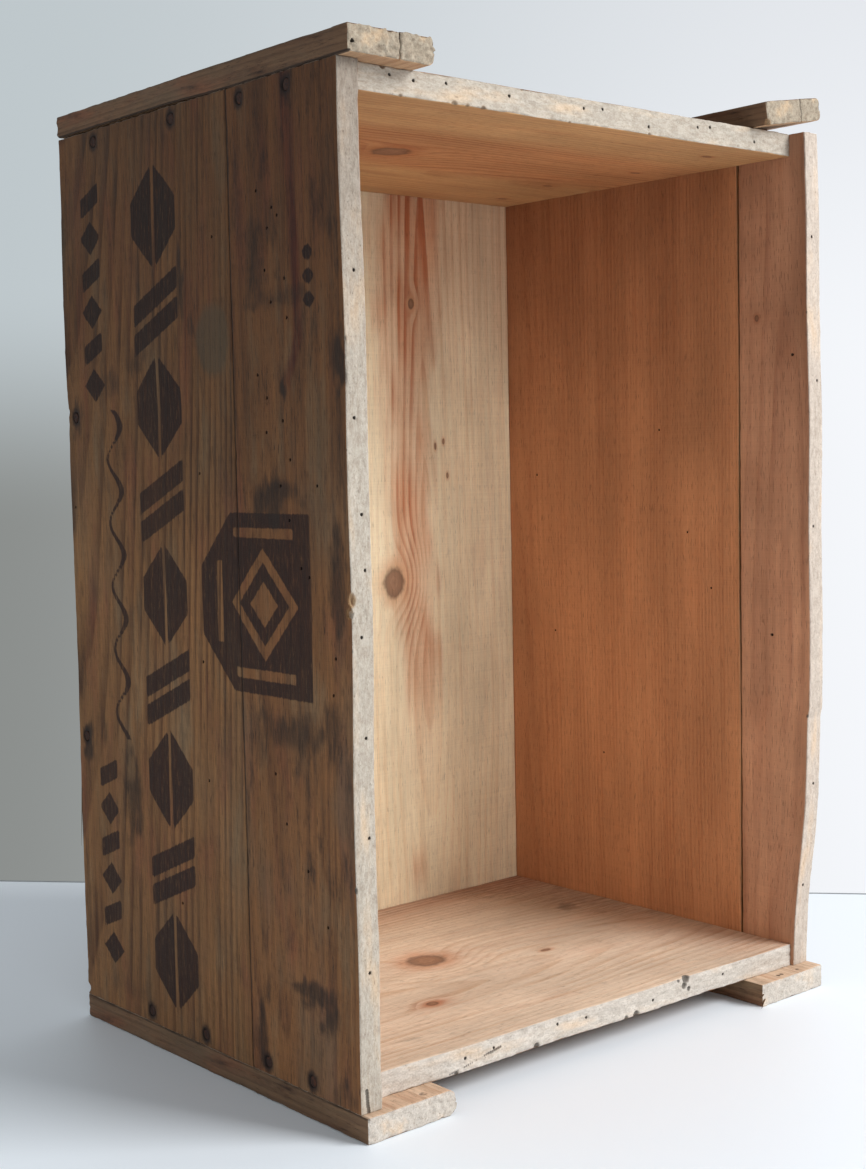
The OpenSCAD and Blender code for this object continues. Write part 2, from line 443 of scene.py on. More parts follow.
    def add_slivers(self, points, values):
        """Adds each torn strip as a thin tapered body of its own."""
        for start, end, bend, width in self.slivers:
            sides, steps = 5, 9
            direction = (end - start) / np.linalg.norm(end - start)
            one = np.cross(direction, [0.31, 0.52, 0.8])
            one /= np.linalg.norm(one)
            two = np.cross(direction, one)
            rows = []
            for step in range(steps):
                share = step / (steps - 1)
                centre = start + (end - start) * share + bend * math.sin(math.pi * share / 2) ** 2
                size = width * (1 - 0.93 * share)
                for side in range(sides):
                    turn = 2 * math.pi * side / sides
                    rows.append(centre + size * (math.cos(turn) * one + 0.45 * math.sin(turn) * two))
            first = len(points)
            points = np.concatenate([points, rows])
            for step in range(steps - 1):
                for side in range(sides):
                    a = first + step * sides + side
                    b = first + step * sides + (side + 1) % sides
                    self.faces.append(self.turn([a, b, b + sides, a + sides]))
            self.faces.append(self.turn(list(range(first + sides - 1, first - 1, -1))))
            self.faces.append(self.turn(list(range(len(points) - sides, len(points)))))
            for name, value in values.items():
                extra = {"edge": 1.0, "stencil": 20.0, "knot": 6.0, "torn": 1.0}.get(name, 0.3)
                filler = np.full((len(rows), *value.shape[1:]), extra)
                if name == "grain":
                    filler = np.array(rows) @ self.axes
                values[name] = np.concatenate([value, filler])
        return points, values

    def turn(self, face):
        """Slivers are laid out right-handed, and build() turns every face over on a left-handed board."""
        return face[::-1] if np.linalg.det(self.axes) < 0 else face

    def build(self, material, slot):
        """Makes the board's object, which takes the place of its CAD node."""
        self.surface()
        self.wear()
        values = self.figure()
        values["grain"] = self.points * 1.0
        values["edge"] = self.on_edge
        outer = ramp(self.points[:, 2], 0.25 * self.high[2], 0.75 * self.high[2])
        values["outer"] = np.maximum(outer, self.on_side)
        values["cavity"] = self.cavity
        values["torn"] = self.freshly_torn
        values["rust"] = self.rust_marks()
        values["stencil"] = np.full(len(self.points), 20.0)
        for name in ("grime_and_shadow", "bleach", "heart", "dim"):
            values[name] = np.zeros(len(self.points))
        for name, painter in self.paint.items():
            values[name] = painter(self.points)
        crate_points = self.to_crate(self.shaped)
        crate_points, values = self.add_slivers(crate_points, values)
        crate_points[:, 2] = np.maximum(crate_points[:, 2], 0.05)
        faces = self.faces
        if np.linalg.det(self.axes) < 0:
            faces = [face[::-1] for face in faces]
        piece = write_mesh(self.node + "_worn", crate_points, faces, values, material)
        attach(piece, "root")
        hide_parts(self.node)
        return piece


def write_mesh(name, crate_points, faces, values, material):
    """Makes a smooth-shaded object from points in the crate's frame, with an attribute for each value."""
    mesh = bpy.data.meshes.new(name)
    mesh.from_pydata((crate_points * MM + CORNER).tolist(), [], faces)
    for key, value in values.items():
        if value.ndim == 2:
            attribute = mesh.attributes.new(key, "FLOAT_VECTOR", "POINT")
            attribute.data.foreach_set("vector", value.ravel())
        else:
            attribute = mesh.attributes.new(key, "FLOAT", "POINT")
            attribute.data.foreach_set("value", value.ravel())
    mesh.polygons.foreach_set("use_smooth", np.ones(len(faces), bool))
    mesh.materials.append(material)
    piece = bpy.data.objects.new(name, mesh)
    bpy.context.scene.collection.objects.link(piece)
    return piece


# ---------------------------------------------------------------- nails

# Radius of a nail's head, and of the dent round it
NAIL_HEAD = 2.8
NAIL_DENT = 3.15

# The CAD nodes with the crate's nails, and the way that the nails in each point
NAIL_SETS = {
    "left_side_top_nails": (1, 0, 0),
    "left_side_bottom_nails": (1, 0, 0),
    "left_side_back_nails": (1, 0, 0),
    "right_side_top_nails": (-1, 0, 0),
    "right_side_bottom_nails": (-1, 0, 0),
    "right_side_back_nails": (-1, 0, 0),
    "back_top_nails": (0, -1, 0),
    "back_bottom_nails": (0, -1, 0),
    "top_left_batten_nails": (0, 0, -1),
    "top_right_batten_nails": (math.sin(LIFT_ANGLE), 0, -math.cos(LIFT_ANGLE)),
    "bottom_left_batten_nails": (0, 0, 1),
    "bottom_right_batten_nails": (0, 0, 1),
}


def nail_places(node):
    """The top of each nail's head in a CAD node, and each nail's length."""
    inward = np.array(NAIL_SETS[node], float)
    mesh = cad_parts[node].data
    points = np.zeros(len(mesh.vertices) * 3, np.float32)
    mesh.vertices.foreach_get("co", points)
    points = (points.reshape(-1, 3).astype(float) - CORNER) / MM
    depth = points @ inward
    flat = points - np.outer(depth, inward)
    found = []
    while len(flat):
        near = np.linalg.norm(flat - flat[0], axis=1) < 3 * NAIL_HEAD
        centre = (flat[near].min(0) + flat[near].max(0)) / 2
        found.append((centre + inward * depth[near].min(), np.ptp(depth[near])))
        flat, depth = flat[~near], depth[~near]
    return found


def nail_set(node, material):
    """Turned nails with a dished, hammered head, a shank and a point."""
    inward = np.array(NAIL_SETS[node], float)
    one = np.cross(inward, [0.3, 0.8, 0.52])
    one /= np.linalg.norm(one)
    two = np.cross(inward, one)
    sides = 28
    points, faces = [], []
    for number, (top, length) in enumerate(nail_places(node)):
        profile = [
            (0.35, 0.10), (1.1, 0.03), (1.9, 0.0), (2.5, 0.06), (2.76, 0.24), (2.8, 0.5), (2.6, 0.8),
            (1.6, 1.0), (1.2, 1.5), (1.2, length - 3.5), (0.7, length - 1.4), (0.12, length - 0.1),
        ]
        first = len(points)
        for row, (radius, down) in enumerate(profile):
            for side in range(sides):
                turn = 2 * math.pi * side / sides
                worn = 1 + 0.03 * math.sin(3 * turn + number * 2.1 + row) * (radius > 1.3)
                dent = 0.09 * math.sin(2 * turn + number) * (row < 4)
                spoke = radius * worn * (math.cos(turn) * one + math.sin(turn) * two)
                points.append(top + spoke + inward * (down + dent))
        for row in range(len(profile) - 1):
            for side in range(sides):
                a = first + row * sides + side
                b = first + row * sides + (side + 1) % sides
                faces.append([a, b, b + sides, a + sides])
        faces.append([first + side for side in range(sides - 1, -1, -1)])
        faces.append([len(points) - sides + side for side in range(sides)])
    piece = write_mesh(node + "_driven", np.array(points), faces, {}, material)
    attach(piece, "root")
    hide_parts(node)
    return piece


# ---------------------------------------------------------------- materials

def tint(red, green, blue):
    """A colour given in screen values from 0 to 255, as linear light."""
    shares = [value / 255 for value in (red, green, blue)]
    return tuple(s / 12.92 if s < 0.04045 else ((s + 0.055) / 1.055) ** 2.4 for s in shares) + (1.0,)


class Shader:
    """A short way to wire the nodes of a material, or of the world."""

    def __init__(self, holder):
        self.holder = holder
        holder.use_nodes = True
        self.nodes = holder.node_tree.nodes
        self.links = holder.node_tree.links
        self.nodes.clear()

    def put(self, socket, value):
        """Links a node's output to a socket, or sets the socket's own value."""
        if isinstance(value, bpy.types.NodeSocket):
            self.links.new(value, socket)
        else:
            socket.default_value = value

    def math(self, operation, *values, clamp=False):
        """One math node."""
        node = self.nodes.new("ShaderNodeMath")
        node.operation = operation
        node.use_clamp = clamp
        for socket, value in zip(node.inputs, values):
            self.put(socket, value)
        return node.outputs[0]

    def times(self, first, second):
        """The product of two values."""
        return self.math("MULTIPLY", first, second)

    def plus(self, first, second):
        """The sum of two values."""
        return self.math("ADD", first, second)

    def minus(self, first, second):
        """The first value less the second."""
        return self.math("SUBTRACT", first, second)

    def read(self, name):
        """A mesh attribute's value."""
        node = self.nodes.new("ShaderNodeAttribute")
        node.attribute_name = name
        return node.outputs["Fac"]

    def read_vector(self, name):
        """A mesh attribute's vector."""
        node = self.nodes.new("ShaderNodeAttribute")
        node.attribute_name = name
        return node.outputs["Vector"]

    def stretch(self, vector, lengths):
        """The vector divided by a length along each axis."""
        node = self.nodes.new("ShaderNodeVectorMath")
        node.operation = "DIVIDE"
        self.put(node.inputs[0], vector)
        self.put(node.inputs[1], lengths)
        return node.outputs[0]

    def noise(self, vector, lengths, detail=2.0, roughness=0.55):
        """Noise from about 0 to 1, whose lumps have the given lengths in mm."""
        node = self.nodes.new("ShaderNodeTexNoise")
        self.put(node.inputs["Vector"], self.stretch(vector, lengths))
        self.put(node.inputs["Scale"], 1.0)
        self.put(node.inputs["Detail"], detail)
        self.put(node.inputs["Roughness"], roughness)
        return node.outputs["Fac"]

    def dot(self, vector, direction):
        """How far the vector reaches along a direction."""
        node = self.nodes.new("ShaderNodeVectorMath")
        node.operation = "DOT_PRODUCT"
        self.put(node.inputs[0], vector)
        self.put(node.inputs[1], direction)
        return node.outputs["Value"]

    def climb(self, value, low, high, bottom=0.0, top=1.0):
        """A smooth climb from bottom to top as value goes from low to high."""
        node = self.nodes.new("ShaderNodeMapRange")
        node.interpolation_type = "SMOOTHSTEP"
        for socket, number in zip(node.inputs, (value, low, high, bottom, top)):
            self.put(socket, number)
        return node.outputs[0]

    def mix(self, share, first, second, blend="MIX"):
        """The first colour at a share of 0, and the second, or their blend, at 1."""
        node = self.nodes.new("ShaderNodeMix")
        node.data_type = "RGBA"
        node.blend_type = blend
        self.put(node.inputs[0], share)
        self.put(node.inputs[6], first)
        self.put(node.inputs[7], second)
        return node.outputs[2]

    def bump(self, height, distance, strength):
        """The surface's normal over a relief, whose distance is in metres."""
        node = self.nodes.new("ShaderNodeBump")
        self.put(node.inputs["Strength"], strength)
        self.put(node.inputs["Distance"], distance)
        self.put(node.inputs["Height"], height)
        return node.outputs["Normal"]

    def finish(self, colour, roughness, normal, metallic=0.0, specular=0.3):
        """Wires the material's one surface and returns the material."""
        surface = self.nodes.new("ShaderNodeBsdfPrincipled")
        self.put(surface.inputs["Base Color"], colour)
        self.put(surface.inputs["Roughness"], roughness)
        self.put(surface.inputs["Metallic"], metallic)
        self.put(surface.inputs["Specular IOR Level"], specular)
        self.put(surface.inputs["Normal"], normal)
        output = self.nodes.new("ShaderNodeOutputMaterial")
        self.links.new(surface.outputs[0], output.inputs["Surface"])
        return self.holder


class Pine(Shader):
    """Old pine, coloured from the attributes that a board's mesh carries."""

    def __init__(self, name, ring_gap, waves):
        super().__init__(bpy.data.materials.new(name))
        self.grain = self.read_vector("grain")
        self.is_outer = self.climb(self.read("outer"), 0.4, 0.6)
        self.late = self.late_wood(ring_gap, waves)
        self.fibre = self.figure((22.0, 0.6, 0.6), 3.0, 0.7)
        self.threads = self.figure((60.0, 1.6, 1.6), 3.0, 0.65)
        self.streak = self.figure((210.0, 4.5, 4.5), 3.0, 0.6)
        self.pores = self.climb(self.figure((7.0, 0.5, 0.5), 1.0), 0.62, 0.72)
        self.saw_marks = self.figure((0.9, 55.0, 55.0), 3.0, 0.7)
        self.cloud = self.figure((120.0, 45.0, 45.0), 3.0)
        self.speckle = self.figure((1.3, 0.9, 0.9), 3.0, 0.7)
        self.mottle = self.figure((6.0, 2.2, 2.2), 4.0, 0.75)
        self.flecks = self.climb(self.figure((1.9, 0.75, 0.75)), 0.62, 0.72)
        ragged = self.plus(self.read("edge"), self.times(self.minus(self.mottle, 0.5), 0.7))
        self.is_edge = self.climb(ragged, 0.42, 0.6)

    def figure(self, lengths, detail=2.0, roughness=0.55):
        """Noise that follows the board's grain."""
        return self.noise(self.grain, lengths, detail, roughness)

    def late_wood(self, ring_gap, waves):
        """Growth rings: each one darkens slowly and ends sharply."""
        uneven = self.figure((500.0, 10.0, 10.0), 1.0)
        rings = self.plus(self.read("rings"), self.times(uneven, waves))
        within = self.math("FRACT", self.math("DIVIDE", rings, ring_gap))
        late = self.times(self.climb(within, 0.3, 0.88), self.climb(within, 0.9, 1.0, 1.0, 0.0))
        strength = self.figure((180.0, 12.0, 12.0))
        return self.times(late, self.climb(strength, 0.3, 0.7, 0.2, 1.0))

    def bare_wood(self, early_colour, late_colour, heart, contrast):
        """Rings and streaks, with reddish wood where the board has it."""
        streaks = self.times(self.minus(self.streak, 0.45), 1.2)
        share = self.math("ADD", self.times(self.late, contrast), streaks, clamp=True)
        colour = self.mix(share, early_colour, late_colour)
        red_share = self.climb(self.plus(self.late, self.streak), 0.3, 1.2, 0.65, 1.0)
        red = self.times(self.read("heart"), red_share)
        return self.mix(red, colour, self.mix(self.late, heart[0], heart[1]))

    def patches(self, colour, inside_red, inside_grey):
        """Patches of a redder and of a greyer brown, stronger outside."""
        hue = self.figure((70.0, 17.0, 17.0), 4.0, 0.6)
        strength = self.climb(self.is_outer, 0.0, 1.0, 0.14, 0.5)
        redder = self.mix(self.is_outer, inside_red, tint(142, 84, 58))
        greyer = self.mix(self.is_outer, inside_grey, tint(140, 118, 88))
        colour = self.mix(self.times(self.climb(hue, 0.5, 0.72), strength), colour, redder)
        return self.mix(self.times(self.climb(hue, 0.48, 0.28), strength), colour, greyer)

    def face_shade(self):
        """The brightness of fibres, soft clouds, pores and the saw's fine marks across the grain."""
        fibre_limits = {"plain": (0.9, 1.08), "rough": (0.8, 1.15)}
        thread_limits = {"plain": (0.94, 1.05), "rough": (0.86, 1.12)}
        plain, rough = (
            self.times(
                self.climb(self.fibre, 0.25, 0.75, *fibre_limits[kind]),
                self.climb(self.threads, 0.25, 0.75, *thread_limits[kind]),
            ) for kind in ("plain", "rough")
        )
        shade = self.mix(self.is_outer, plain, rough)
        for layer in (
            self.climb(self.cloud, 0.25, 0.75, 0.86, 1.12),
            self.climb(self.pores, 0.0, 1.0, 1.0, 0.72),
            self.climb(self.saw_marks, 0.25, 0.75, 0.96, 1.03),
        ):
            shade = self.times(shade, layer)
        return shade

    def knots(self, colour, shade, halo):
        """A darker rim, a ringed brown middle and a warm halo."""
        ragged = self.times(self.minus(self.figure((6.0, 4.0, 4.0)), 0.5), 0.5)
        knot = self.plus(self.read("knot"), ragged)
        rings = self.climb(self.math("FRACT", self.times(knot, 2.6)), 0.0, 1.0, 0.88, 1.06)
        core = self.climb(knot, 0.7, 1.2, 0.85, 0.0)
        core_colour = self.mix(self.climb(knot, 0.4, 0.95), tint(150, 110, 84), tint(102, 74, 58))
        colour = self.mix(self.climb(knot, 1.0, 2.2, 0.55, 0.0), colour, halo)
        colour = self.mix(core, colour, core_colour)
        return colour, self.times(shade, self.mix(core, (1, 1, 1, 1), rings))

    def weathered(self, colour, worn):
        """Dark and grey blotches that follow the grain, and short dark dashes."""
        blotches = self.climb(self.figure((36.0, 9.0, 9.0), 5.0, 0.7), 0.5, 0.76)
        grey = self.climb(self.figure((90.0, 30.0, 30.0), 3.0), 0.47, 0.74, 0.0, 0.55)
        dashes = self.climb(self.figure((10.0, 0.8, 0.8)), 0.62, 0.72, 0.0, 0.85)
        for share, stain in (
            (blotches, tint(52, 38, 30)), (grey, tint(108, 95, 76)), (dashes, tint(46, 32, 25)),
        ):
            colour = self.mix(self.times(share, worn), colour, stain)
        return colour

    def sawn_edges(self, colour, shade, edge):
        """Sawn edges and end grain: pale, mottled and flecked."""
        drift = self.figure((45.0, 12.0, 12.0), 3.0, 0.6)
        edge_colour = self.mix(self.climb(self.mottle, 0.35, 0.7), edge[0], edge[1])
        for share, patch in (
            (self.climb(drift, 0.5, 0.75, 0.0, 0.45), tint(204, 170, 132)),
            (self.climb(self.threads, 0.55, 0.75, 0.0, 0.3), tint(148, 126, 102)),
            (self.times(self.flecks, 0.55), tint(112, 94, 76)),
        ):
            edge_colour = self.mix(share, edge_colour, patch)
        edge_shade = self.times(
            self.climb(self.speckle, 0.2, 0.8, 0.84, 1.1), self.climb(drift, 0.25, 0.75, 0.9, 1.08),
        )
        return self.mix(self.is_edge, colour, edge_colour), self.mix(self.is_edge, shade, edge_shade)

    def fresh_breaks(self, colour):
        """Fresh breaks show the yellow wood inside."""
        bright = self.mix(self.climb(self.fibre, 0.3, 0.7), tint(130, 84, 46), tint(206, 166, 116))
        return self.mix(self.read("torn"), colour, bright)

    def inked(self, colour):
        """Stencil ink, thin where the wood is rough."""
        thin = self.figure((9.0, 1.4, 1.4), 4.0, 0.75)
        outline = self.plus(self.read("stencil"), self.times(self.minus(self.threads, 0.5), 1.6))
        ink = self.times(self.climb(outline, 0.4, -0.4), self.climb(thin, 0.78, 0.5, 0.35, 0.95))
        ink = self.times(ink, self.climb(self.cloud, 0.25, 0.5, 0.84, 1.0))
        ink_colour = self.mix(self.climb(self.fibre, 0.3, 0.7), tint(37, 22, 16), tint(60, 34, 25))
        return self.mix(ink, colour, ink_colour)

    def stained(self, colour):
        """Painted shade and some dust, which darken the wood evenly, then stains, painted shadow, rust, and
        painted shade in holes and cracks.
        """
        # Painted shade from the dim attribute, mixed with some dust on the left side.
        painted_shade_and_dust = self.mix(1.0, colour, tint(138, 118, 106), "MULTIPLY")
        colour = self.mix(self.read("dim"), colour, painted_shade_and_dust)
        # Real marks, with painted shadow along the joints and in the floor's far right corner, broken up
        # along the grain.
        broken = self.minus(self.figure((12.0, 1.8, 1.8), 5.0, 0.75), 0.5)
        stain = self.plus(self.read("grime_and_shadow"), self.times(broken, 1.1))
        for share, dark in (
            (self.read("bleach"), tint(82, 70, 53)),
            (self.climb(stain, 0.18, 1.0, 0.0, 0.88), tint(46, 34, 27)),
            (self.read("rust"), tint(38, 24, 20)),
            # Painted shade in holes and cracks, and old breaks darkened
            (self.read("cavity"), tint(26, 17, 12)),
        ):
            colour = self.mix(share, colour, dark)
        return colour

    def relief(self):
        """Raised rings and fibres on the faces, and rough sawn edges."""
        face = self.plus(self.times(self.late, 0.6), self.times(self.fibre, 0.9))
        face = self.minus(face, self.times(self.pores, 0.8))
        face = self.plus(face, self.times(self.saw_marks, 0.5))
        edge = self.minus(self.times(self.speckle, 1.7), self.times(self.flecks, 0.8))
        return self.bump(self.mix(self.is_edge, face, edge), 0.00025, 0.9)


def pine(name, outer, inner, edge, heart, ring_gap, contrast, weathering=0.7, waves=2.5, inner_wear=0.0):
    """Old pine. Each colour argument is a pair: the earlier, paler colour and the later, darker one."""
    s = Pine(name, ring_gap, waves)
    early_colour = s.mix(s.is_outer, inner[0], outer[0])
    late_colour = s.mix(s.is_outer, inner[1], outer[1])
    colour = s.bare_wood(early_colour, late_colour, heart, contrast)
    colour = s.patches(colour, heart[0], inner[0])
    colour, shade = s.knots(colour, s.face_shade(), s.mix(0.5, late_colour, heart[0]))
    colour = s.weathered(colour, s.times(s.climb(s.is_outer, 0.0, 1.0, inner_wear, 1.0), weathering))
    colour, shade = s.sawn_edges(colour, shade, edge)
    colour = s.mix(1.0, s.fresh_breaks(colour), shade, "MULTIPLY")
    colour = s.stained(s.inked(colour))
    roughness = s.climb(s.plus(s.fibre, s.times(s.is_edge, 0.5)), 0.2, 1.2, 0.62, 0.92)
    return s.finish(colour, roughness, s.relief())


def rusty_steel():
    """Nail heads gone black and brown."""
    s = Shader(bpy.data.materials.new("rusty_steel"))
    place = s.nodes.new("ShaderNodeTexCoord").outputs["Object"]
    mottle = s.noise(place, (0.0011, 0.0011, 0.0011), 4.0, 0.65)
    bloom = s.noise(place, (0.0032, 0.0032, 0.0032), 2.0)
    colour = s.mix(s.climb(mottle, 0.35, 0.7), tint(52, 40, 38), tint(92, 64, 52))
    colour = s.mix(s.climb(bloom, 0.55, 0.75, 0.0, 0.6), colour, tint(112, 68, 46))
    normal = s.bump(mottle, 0.00015, 0.7)
    return s.finish(colour, s.climb(mottle, 0.3, 0.7, 0.55, 0.85), normal, 0.45)


# ---------------------------------------------------------------- stencilled marks

def lozenge(x, y, half_x, half_y):
    """Distance to a lozenge's outline, negative inside."""
    return (abs(x) * half_y + abs(y) * half_x - half_x * half_y) / math.hypot(half_x, half_y)


def bar(x, y, half_x, half_y):
    """Distance to a bar's outline, negative inside."""
    return np.maximum(abs(x) - half_x, abs(y) - half_y)


def leaning_block(x, y, half_x, half_y, lean, slit=0.0):
    """A leaning block, which may have a narrow slit down its middle."""
    slanted = x + lean * y
    block = np.maximum((abs(slanted) - half_x) * 0.9, abs(y) - half_y)
    return np.maximum(block, slit - abs(slanted)) if slit else block


def big_marks(u, v):
    """A column of nine clipped lozenges and leaning blocks by turns, each cut by a stencil's bridge."""
    top, pitch, middle, half = 436.0, 48.1, 154.0, 21.0
    marks = np.full(len(u), 20.0)
    for number in range(9):
        x = u - (top - number * pitch)
        y = v - middle
        if number % 2:
            shape = leaning_block(x, y, 13, half, 0.42, 1.9)
        else:
            shape = np.maximum(lozenge(x, y, 27, 1.45 * half), abs(y) - half)
            shape = np.maximum(shape, 1.2 - abs(y))
        marks = np.minimum(marks, shape)
    return marks


def small_marks(u, v):
    """Two rows of small shapes with a waved line between them."""
    marks = np.full(len(u), 20.0)
    for start, count in ((451.0, 6), (143.0, 6)):
        for number in range(count):
            x = u - (start - number * 19.5)
            y = v - 217
            if number % 2:
                shape = lozenge(x, y, 9.0, 10.5)
            else:
                shape = leaning_block(x, y, 5.2, 9.2, 0.4)
            marks = np.minimum(marks, shape)
    sway = 200 + 6.5 * np.sin(u / 5.4)
    pen = 1.2 + 1.5 * np.cos(u / 10.8 + 0.6) ** 2
    wave = (abs(v - sway) - pen) * 0.7
    return np.minimum(marks, np.maximum(wave, abs(u - 252) - 88))


def panel_mark(u, v):
    """A dark panel with two corners clipped, and a bare lozenge frame and two bare bars left in it."""
    x = u - 243.5
    y = v - 74
    block = np.maximum(bar(x, y, 43.5, 45), (abs(x) + y - 62) * 0.7)
    frame_band = np.maximum(lozenge(x, y + 8, 27, 27), -lozenge(x, y + 8, 20, 20))
    bare = np.minimum(frame_band, lozenge(x, y + 8, 11, 11))
    bare = np.minimum(bare, bar(abs(x) - 34, y + 8, 2.4, 24))
    bare = np.minimum(bare, bar(x, y - 29, 20, 2.2))
    return np.maximum(block, -bare)


def small_tag(u, v):
    """Three small lozenges near the mouth."""
    marks = np.full(len(u), 20.0)
    for number in range(3):
        marks = np.minimum(marks, lozenge(u - (405 - 10.5 * number), v - 25, 4.6, 4.6))
    return marks


def left_stencils(points):
    """All the marks on the left side's outer face."""
    u, v, w = points.T
    marks = np.minimum(big_marks(u, v), small_marks(u, v))
    marks = np.minimum(marks, panel_mark(u, v))
    marks = np.minimum(marks, small_tag(u, v))
    return np.where(w > 11.5, marks, 20.0)


# ---------------------------------------------------------------- painted stains

def smudge(points, u, v, length, width, strength, seed):
    """A soft stain with a broken outline."""
    far = np.hypot((points[:, 0] - u) / length, (points[:, 1] - v) / width)
    broken = 0.3 * lumps(points, (0.5 * length, 0.5 * width, 9), seed)
    broken += 0.3 * lumps(points, (7, 3, 9), seed + 1)
    return strength * ramp(far + broken, 1.25, 0.3)


def darker_top(points):
    """Darker near the top, less lower down, on the outer face and on the front edge: partly dust, partly
    painted shade, as less light comes up from the floor to the top.
    """
    u, v, w = points.T
    face = 0.64 * ramp(u + 25 * lumps(points, (60, 30, 30), 21), 190, 470)
    front = 0.46 * ramp(u, 300, 480)
    return np.where(v < 1, front, face)


def left_front_marks_and_joint_shadow(points):
    """Dark handling marks near the mouth, and painted shadow along the joint behind the board."""
    u, v, w = points.T
    total = np.maximum(smudge(points, 344, 46, 6, 4, 0.9, 4), 1.1 * ramp(v, 84.6, 85.6))
    for place in (
        (404, 66, 34, 13, 0.55), (386, 50, 7, 40, 0.62), (418, 52, 20, 8, 0.55), (294, 58, 14, 24, 0.85),
        (184, 44, 12, 36, 0.7), (176, 74, 16, 9, 0.6), (186, 14, 22, 9, 0.7), (62, 30, 8, 30, 0.82),
        (52, 22, 12, 12, 0.85), (30, 76, 24, 7, 0.7), (118, 12, 22, 8, 0.45), (482, 60, 12, 22, 0.3),
        (20, 12, 12, 16, 0.5), (250, 8, 44, 9, 0.75), (357, 4, 18, 7, 0.95), (330, 5, 60, 5, 0.6),
        (440, 6, 50, 9, 0.42), (455, 70, 14, 12, 0.3), (375, 22, 40, 5, 0.3), (150, 4, 90, 4, 0.45),
    ):
        total = np.maximum(total, smudge(points, *place, seed=int(place[0])))
    return total * (w > 11)


def left_red_streak(points):
    """A dark red streak that runs down from the top of the front board."""
    u, v, w = points.T
    line = 33 + 0.045 * (u - 366) + 11 * ramp(u, 372, 344)
    uneven = v - line - 1.6 * lumps(points, (30, 9, 9), 5)
    return 0.9 * ramp(abs(uneven), 5.2, 1.6) * ramp(u, 338, 352) * (w > 11)


def left_rear_marks_and_joint_shadow(points):
    """Dark marks round the rear edge, and painted shadow along the joint in front of the board."""
    u, v, w = points.T
    total = 0.8 * ramp(v, 87.2, 86.4)
    for place in (
        (398, 130, 24, 5, 0.8), (378, 122, 9, 5, 0.6), (364, 172, 14, 14, 0.6), (352, 198, 12, 12, 0.6),
        (336, 238, 16, 8, 0.65), (158, 238, 14, 8, 0.85), (134, 192, 30, 14, 0.75), (84, 190, 26, 10, 0.45),
        (26, 200, 12, 30, 0.45), (70, 244, 60, 4, 0.5), (420, 246, 60, 3, 0.5), (166, 220, 14, 5, 0.6),
        (12, 130, 8, 50, 0.4), (482, 170, 8, 60, 0.3), (180, 100, 40, 5, 0.3),
    ):
        total = np.maximum(total, smudge(points, *place, seed=int(place[0])))
    return total * (w > 11)


def left_grey_patch(points):
    """A round grey stain, left by something that stood on the wood."""
    far = np.hypot((points[:, 0] - 371) / 17.5, (points[:, 1] - 103) / 14.5)
    return 0.68 * ramp(far + 0.08 * lumps(points, (9, 6, 9), 3), 1.12, 0.8) * (points[:, 2] > 11)


# ---------------------------------------------------------------- the boards

def nail_all(board):
    """Dents and rust for every nail that goes in through the board's outer face."""
    for node in NAIL_SETS:
        for place, _ in nail_places(node):
            board.nail(place)


def left_side_front_board(material):
    """The left side's narrower board, chewed and wormy along the mouth."""
    board = Board("left_side_front_board", 2, 1, -1, (2.4, 2.2), 11)
    board.pith = (60.0, -38.0)
    board.pith_slope = 0.02
    board.front_edge = lambda u: 0.7 * np.sin(u / 61) + 0.5 * np.sin(u / 23 + 1)
    board.rear_edge = lambda u: 0.35 + 0 * u
    board.pale_rear = 0.0
    board.paint = {
        "stencil": left_stencils, "grime_and_shadow": left_front_marks_and_joint_shadow, "heart": left_red_streak, "dim": darker_top,
    }
    board.wormholes("outer", [
        (437, 63), (428, 51), (424, 47), (419, 55), (400, 58), (395, 43), (385, 54), (377, 42), (352, 66),
        (341, 59), (325, 60), (312, 42), (300, 22), (262, 36), (258, 30), (300, 50), (284, 44), (205, 14),
        (330, 47), (163, 60), (120, 36), (96, 22), (140, 52), (222, 12),
    ])
    board.wormholes("front", [
        (395, 6), (287, 5), (262, 4), (232, 7), (186, 5), (78, 6), (330, 8), (140, 4),
    ])
    board.bite(249, -1.2, 13.4, 3.6, 0.8)
    board.bite(243, 1.6, 13.8, 2.6, 0.6)
    for u, radius in (
        (117, 2.4), (330, 1.8), (372, 1.6), (365, 2.0), (357, 2.2), (349, 1.7), (286, 1.8),
        (272, 1.5), (226, 2.0), (219, 1.5), (66, 1.6),
    ):
        board.bite(u, -0.9, 13.7, radius)
    for step in range(10):
        board.bite(12.6 + 1.2 * step, -0.5, 8.2 + 0.1 * step, 1.15)
    nail_all(board)
    board.build(material, "weathered_pine")


def left_side_rear_board(material):
    """The left side's wide board, with a torn splinter on its rear edge."""
    board = Board("left_side_rear_board", 2, 1, -1, (2.2, 1.7), 12)
    board.pith = (250.0, -150.0)
    board.pith_slope = 0.05
    board.wander = 3.0
    board.pale_front = 0.0
    board.rear_edge = lambda u: -1.6 * np.exp(-((u - 337) / 16) ** 2) + 0.8 * np.sin(u / 47) - 0.5
    board.paint = {
        "stencil": left_stencils, "grime_and_shadow": left_rear_marks_and_joint_shadow, "bleach": left_grey_patch, "dim": darker_top,
    }
    board.wormholes("outer", [(152, 118), (306, 118), (212, 120), (288, 243), (84, 146), (420, 101)])
    board.bite(340, 250, 12.0, 3.2)
    board.bite(16, 249.5, 12.0, 3.6)
    board.sliver((0.8, 247.2, 140), (0.2, 251.3, 97), (0.0, -1.0, 0), 0.5)
    nail_all(board)
    board.build(material, "weathered_pine")


def right_front_outline(u):
    """The front board's mouth edge, which swells out and comes back at its foot."""
    swell = -(11 * ramp(u, -40, 175) - 3.4 * ramp(u, 290, 560)) * ramp(u, -30, 120)
    step = 1.1 * ramp(u, 165, 158)
    return swell + step + 0.35 * np.sin(u / 19)


